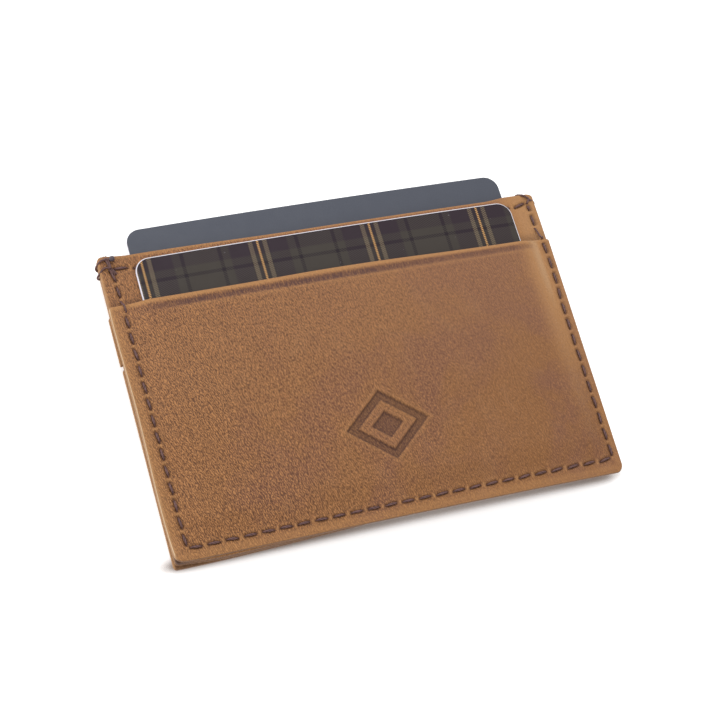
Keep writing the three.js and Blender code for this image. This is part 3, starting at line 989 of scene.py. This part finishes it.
class Shader:
    """A node material in the making. Each call adds a node and gives back its output."""

    def __init__(self, name, **settings):
        self.material = bpy.data.materials.new(name)
        self.material.use_nodes = True
        self.tree = self.material.node_tree
        self.surface = self.tree.nodes["Principled BSDF"]
        for socket, value in settings.items():
            self.surface.inputs[socket.replace("_", " ")].default_value = value

    def add(self, kind, inputs, output=0, **properties):
        node = self.tree.nodes.new("ShaderNode" + kind)
        for key, value in properties.items():
            setattr(node, key, value)
        for socket, value in inputs.items():
            self.put(node.inputs[socket], value)
        return node.outputs[output]

    def put(self, socket, value):
        if isinstance(value, bpy.types.NodeSocket):
            self.tree.links.new(value, socket)
        else:
            socket.default_value = value

    def set(self, socket, value):
        self.put(self.surface.inputs[socket], value)

    def millimetres(self):
        place = self.add("TexCoord", {}, "Object")
        return self.add("VectorMath", {0: place, "Scale": 1 / MM}, operation="SCALE")

    def axis(self, place, index):
        return self.add("SeparateXYZ", {0: place}, index)

    def sized(self, vector, size, turn=0.0):
        """Coordinates turned about Z and counted in units of size."""
        inputs = {"Vector": vector, "Scale": size, "Rotation": (0, 0, turn)}
        return self.add("Mapping", inputs, vector_type="TEXTURE")

    def noise(self, vector, scale=1.0, detail=2.0, roughness=0.5, distortion=0.0):
        inputs = dict(Vector=vector, Scale=scale, Detail=detail, Roughness=roughness, Distortion=distortion)
        return self.add("TexNoise", inputs, "Fac")

    def math(self, operation, a, b=0.0, c=0.0):
        return self.add("Math", {0: a, 1: b, 2: c}, operation=operation)

    def times(self, a, b):
        return self.math("MULTIPLY", a, b)

    def span(self, value, low, high, to_low=0.0, to_high=1.0):
        inputs = {"Value": value, "From Min": low, "From Max": high, "To Min": to_low, "To Max": to_high}
        return self.add("MapRange", inputs, interpolation_type="SMOOTHSTEP")

    def mix(self, factor, a, b, blend="MIX"):
        return self.add("Mix", {0: factor, 6: a, 7: b}, 2, data_type="RGBA", blend_type=blend)

    def attribute(self, name):
        return self.add("Attribute", {}, "Fac", attribute_name=name)

    def bump(self, height, distance):
        return self.add("Bump", {"Height": height, "Distance": distance * MM, "Strength": 1.0})


GRAIN_TURN = math.radians(18)


def leather_grain(s, place):
    """The height of the grain: long, bent ridges and fine pebbles."""
    waves = {
        "Vector": s.sized(place, (1, 1.5, 1), GRAIN_TURN),
        "Scale": 0.76, "Distortion": 8.0, "Detail": 1.0, "Detail Scale": 2.6,
    }
    ridges = s.add("TexWave", waves, "Fac", bands_direction="X")
    cells = {"Vector": s.sized(place, (0.33, 0.6, 1), GRAIN_TURN), "Scale": 1.0}
    pebbles = s.add("TexVoronoi", cells, feature="F1", voronoi_dimensions="2D")
    return s.math("SUBTRACT", s.times(ridges, 0.3), s.times(pebbles, 0.3))


def tan_tone(s, place, patches):
    """The grain side's tan, in two patchy shades, paler towards the mouths and head as a painted light
    gradient, and in thin wisps.
    """
    drift = s.math("ADD", patches, s.times(s.axis(place, 0), -0.002))
    wisps = s.noise(s.sized(place, (7, 11, 9), 0.5), 1.0, 4.0, 0.6, 1.2)
    tone = s.mix(s.span(drift, 0.38, 0.6), srgb(120, 79, 57), srgb(131, 87, 49))
    # A painted light gradient: paler towards the top.
    tone = s.mix(s.span(s.axis(place, 1), -12, 34, 0.0, 0.5), tone, srgb(146, 104, 75))
    return s.mix(s.span(wisps, 0.52, 0.72, 0.0, 0.35), tone, srgb(146, 105, 72))


def grained(s, tone, place, grain):
    """Darker hollows and lighter ridges in the grain, fainter to the right."""
    coarse = s.span(s.axis(place, 0), -38, 44, 1.0, 0.4)
    hollows = s.times(coarse, s.span(grain, -0.16, 0.04, 0.8, 0.0))
    ridges = s.times(coarse, s.span(grain, 0.02, 0.2))
    return s.mix(ridges, s.mix(hollows, tone, srgb(82, 52, 34)), srgb(168, 117, 72))


def highlighted_and_folded(s, tone, place):
    """Lighter lips and margins and painted highlights, up to cream for the one on the left edge, and the fine
    wrinkles of the fold.
    """
    light = s.attribute("light")
    tone = s.mix(s.times(s.math("MINIMUM", light, 1.0), 0.7), tone, srgb(176, 128, 80))
    tone = s.mix(s.span(light, 1.0, CREAM), tone, srgb(222, 200, 168))
    lines = s.span(s.noise(s.sized(place, (0.17, 1.6, 1)), 1.0, 1.0), 0.4, 0.58, 0.45, 0.95)
    return s.mix(s.times(s.attribute("fold"), lines), tone, srgb(84, 56, 50))


def flesh_and_edges(s, tone, place):
    """The suede of the flesh side, the raw cut edges, and a painted highlight that lightens the left edge."""
    suede = s.mix(s.span(s.noise(place, 3.0, 4.0), 0.3, 0.7), srgb(102, 70, 46), srgb(134, 98, 66))
    raw = s.mix(s.span(s.noise(place, 5.0), 0.35, 0.65), srgb(84, 54, 32), srgb(122, 84, 50))
    tone = s.mix(s.attribute("flesh"), tone, suede)
    tone = s.mix(s.times(s.attribute("edge"), 0.8), tone, raw)
    # A painted highlight that lightens every layer's left edge.
    left_highlight = s.span(s.axis(place, 0), 0.2 - HALF_WIDTH, 0.75 - HALF_WIDTH, 0.7, 0.0)
    return s.mix(left_highlight, tone, srgb(172, 130, 88), "LIGHTEN")


def leather_material():
    s = Shader("tan_leather", Specular_IOR_Level=0.25, Sheen_Weight=0.05, Sheen_Roughness=0.5)
    place = s.millimetres()
    patches = s.noise(place, 0.05, 3.0, 0.6, 0.5)
    grain = leather_grain(s, place)
    tone = grained(s, tan_tone(s, place, patches), place, grain)
    tone = flesh_and_edges(s, highlighted_and_folded(s, tone, place), place)
    # The dark share: painted shade in stitch troughs and holes, creases and the corner gap, partly burnish,
    # and the stamp's darker pressed floor.
    s.set("Base Color", s.mix(s.times(s.attribute("dark"), 0.85), tone, srgb(62, 42, 38)))
    s.set("Roughness", s.span(patches, 0.3, 0.7, 0.68, 0.56))
    s.set("Normal", s.bump(grain, 0.15))
    return s.material


def thread_material():
    s = Shader("twisted_thread", Specular_IOR_Level=0.45, Roughness=0.52)
    place = s.millimetres()
    ply = s.attribute("ply")
    # Painted shade in the grooves between the plies and a painted highlight on their crests.
    tone = s.mix(s.span(ply, -0.9, 0.8), srgb(50, 30, 29), srgb(104, 70, 66))
    tone = s.mix(s.span(s.noise(place, 2.2), 0.4, 0.7, 0.0, 0.5), tone, srgb(118, 82, 76))
    tone = s.mix(s.span(ply, 1.2, MELTED), tone, srgb(76, 64, 70))
    s.set("Base Color", tone)
    s.set("Normal", s.bump(s.noise(place, 9.0, 3.0), 0.05))
    return s.material


def core_material():
    s = Shader("card_stock", Roughness=0.45)
    s.set("Base Color", s.mix(s.noise(s.millimetres(), 2.0), srgb(214, 210, 218), srgb(228, 224, 232)))
    return s.material


def film_finish(s, place):
    """The faint ripple and the uneven gloss of a satin film."""
    s.set("Normal", s.bump(s.noise(place, 6.0, 3.0), 0.006))
    s.set("Roughness", s.span(s.noise(place, 0.4, 3.0), 0.3, 0.7, 0.46, 0.54))


def slate_material():
    s = Shader("slate_film", Specular_IOR_Level=0.35)
    place = s.millimetres()
    speckle = s.noise(place, 7.0, 2.0)
    s.set("Base Color", s.mix(speckle, srgb(63, 66, 76), srgb(75, 79, 90)))
    film_finish(s, place)
    return s.material


def stripe(s, position, centre, width, soft=0.12):
    """1 within a stripe across a repeating position, and 0 outside it."""
    away = s.math("ABSOLUTE", s.math("SUBTRACT", position, centre))
    return s.span(away, width / 2 - soft, width / 2 + soft, 1.0, 0.0)


CHECK_REPEAT = 25.3
CHECK_FIELD = 12.4
CHECK_LEFT = 1.6
CHECK_ABOVE = 3.0
TWILL_PITCH = 0.58


def check_threads(s, position):
    """The colours of one set of yarns in the check, along a position in millimetres from a bright yarn."""
    middle = CHECK_REPEAT / 2
    tone = s.mix(stripe(s, position, middle, CHECK_FIELD, 0.3), srgb(43, 31, 39), srgb(58, 52, 47))
    for side in (-4.1, 4.1):
        tone = s.mix(stripe(s, position, middle + side, 0.8), tone, srgb(30, 20, 27))
    for bright in (0.0, CHECK_REPEAT):
        tone = s.mix(stripe(s, position, bright, 4.4, 0.3), tone, srgb(38, 30, 34))
        tone = s.mix(stripe(s, position, bright, 0.46, 0.12), tone, srgb(206, 156, 96))
        for side in (-1.6, 1.6):
            tone = s.mix(stripe(s, position, bright + side, 0.95), tone, srgb(110, 95, 76))
    return tone


def check_material():
    """A dark check printed on the front card, laid out from the card's left and top edges."""
    low, high = node_box("front_card_face_film")
    s = Shader("check_film", Specular_IOR_Level=0.2)
    place = s.millimetres()
    x, y = s.axis(place, 0), s.axis(place, 1)
    across = s.math("SUBTRACT", x, low[0] + CHECK_LEFT)
    down = s.math("SUBTRACT", high[1] + CHECK_ABOVE, y)
    warp = check_threads(s, s.math("FLOORED_MODULO", across, CHECK_REPEAT))
    weft = check_threads(s, s.math("FLOORED_MODULO", down, CHECK_REPEAT))
    twill = s.math("FRACT", s.times(s.math("ADD", x, y), 1 / TWILL_PITCH))
    woven = s.math("ABSOLUTE", s.math("SUBTRACT", twill, 0.5))
    tone = s.mix(s.span(woven, 0.18, 0.3, 0.0, 0.95), warp, weft)
    specks = s.span(s.noise(place, 1.7, 1.0), 0.78, 0.82, 0.0, 0.3)
    s.set("Base Color", s.mix(specks, tone, srgb(150, 146, 150)))
    film_finish(s, place)
    return s.material


CONTACT_REACH = 5.0
LIT_SIDE = (-0.62, 0.68, 0.4)


def floor_material():
    """White paper that glows as on a light table, with a painted shadow in a narrow band at the holder's foot.
    """
    s = Shader("floor_white", Roughness=0.7, Specular_IOR_Level=0.2, Emission_Strength=0.42)
    seen = s.add("AmbientOcclusion", {"Distance": CONTACT_REACH * MM, "Normal": LIT_SIDE}, "AO", samples=8)
    hidden = s.math("SUBTRACT", 1.0, s.math("POWER", seen, 3.0))
    along = s.axis(s.millimetres(), 1)
    before = s.span(along, FOOT - 1.1, FOOT + 0.9)
    under = s.span(along, FOOT + 1, FOOT + 3.5, 1.0, 0.0)
    # The painted shadow: the floor darkened by its occlusion, only in a band along the foot line.
    opening = s.math("SUBTRACT", 1.0, s.times(hidden, s.times(before, under)))
    s.set("Emission Color", s.mix(opening, srgb(60, 45, 36), srgb(255, 255, 255)))
    s.set("Base Color", s.mix(opening, srgb(120, 96, 80), srgb(249, 249, 249)))
    return s.material


LEATHER_MATERIAL = leather_material()
THREAD_MATERIAL = thread_material()
CORE_MATERIAL = core_material()
SLATE_MATERIAL = slate_material()
CHECK_MATERIAL = check_material()


# ---- camera, light and floor
CAMERA_TARGET = (-0.6, 9.0, 6.0)
CAMERA_AZIMUTH = math.radians(-44.09)
CAMERA_ELEVATION = math.radians(62.82)
CAMERA_ROLL = math.radians(30.58)
CAMERA_DISTANCE = 413.6
CAMERA_LENS = 98.94
FLOOR_HALF = 3.0
ROOM_LIGHT = 0.92


def make_camera():
    """A camera turned about the holder, and then rolled about its own line of sight."""
    a, e = CAMERA_AZIMUTH, CAMERA_ELEVATION
    back = np.array([math.cos(e) * math.sin(a), -math.cos(e) * math.cos(a), math.sin(e)])
    level_up = np.array([0, 0, 1]) - back[2] * back
    level_up /= np.linalg.norm(level_up)
    level_right = np.cross(level_up, back)
    right = math.cos(CAMERA_ROLL) * level_right + math.sin(CAMERA_ROLL) * level_up
    up = np.cross(back, right)
    camera = bpy.data.objects.new("camera", bpy.data.cameras.new("camera"))
    bpy.context.scene.collection.objects.link(camera)
    camera.data.lens = CAMERA_LENS
    camera.data.clip_start = 0.01
    place = (np.array(CAMERA_TARGET) + back * CAMERA_DISTANCE) * MM
    turn = Matrix([right, up, back]).transposed().to_4x4()
    camera.matrix_world = Matrix.Translation(place) @ turn
    bpy.context.scene.camera = camera
    return right, up, back


def area_light(name, direction, distance, size, power):
    """A square soft light that looks at the middle of the holder."""
    light = bpy.data.lights.new(name, "AREA")
    light.size = size
    light.energy = power
    lamp = bpy.data.objects.new(name, light)
    bpy.context.scene.collection.objects.link(lamp)
    direction = np.array(direction, float) / np.linalg.norm(direction)
    side = np.cross((0.0, 1.0, 0.1), direction)
    side /= np.linalg.norm(side)
    turn = Matrix([side, np.cross(direction, side), direction]).transposed().to_4x4()
    lamp.matrix_world = Matrix.Translation(direction * distance) @ turn


def make_light(right, up, back):
    """A big soft light from the top of the view, two weaker ones from its left, and a white room."""
    area_light("key", up + 0.5 * back, 0.9, 0.7, 3.0)
    area_light("fill", -0.8 * right + 0.1 * up + 0.7 * back, 1.1, 0.7, 0.9)
    area_light("side", -right + 0.1 * up + 0.45 * back, 0.8, 0.5, 1.6)
    world = bpy.data.worlds.new("white_room")
    world.use_nodes = True
    background = world.node_tree.nodes["Background"]
    background.inputs["Color"].default_value = (1, 1, 1, 1)
    background.inputs["Strength"].default_value = ROOM_LIGHT
    bpy.context.scene.world = world


def make_floor(height):
    mesh = bpy.data.meshes.new("floor")
    corners = [(x * FLOOR_HALF, y * FLOOR_HALF, 0) for x, y in ((-1, -1), (1, -1), (1, 1), (-1, 1))]
    mesh.from_pydata(corners, [], [(0, 1, 2, 3)])
    mesh.materials.append(floor_material())
    floor = bpy.data.objects.new("floor", mesh)
    bpy.context.scene.collection.objects.link(floor)
    floor.location.z = height


# ---- the scene
view_axes = make_camera()
front_pocket()
centre_panels()
back_pockets()
perimeter_seam()
top_seam()
upper_pocket_seam()
cards()
bpy.context.view_layer.update()
visual_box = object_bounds()
make_light(*view_axes)
make_floor(visual_box[0][2])
bpy.context.scene.view_settings.view_transform = "Standard"
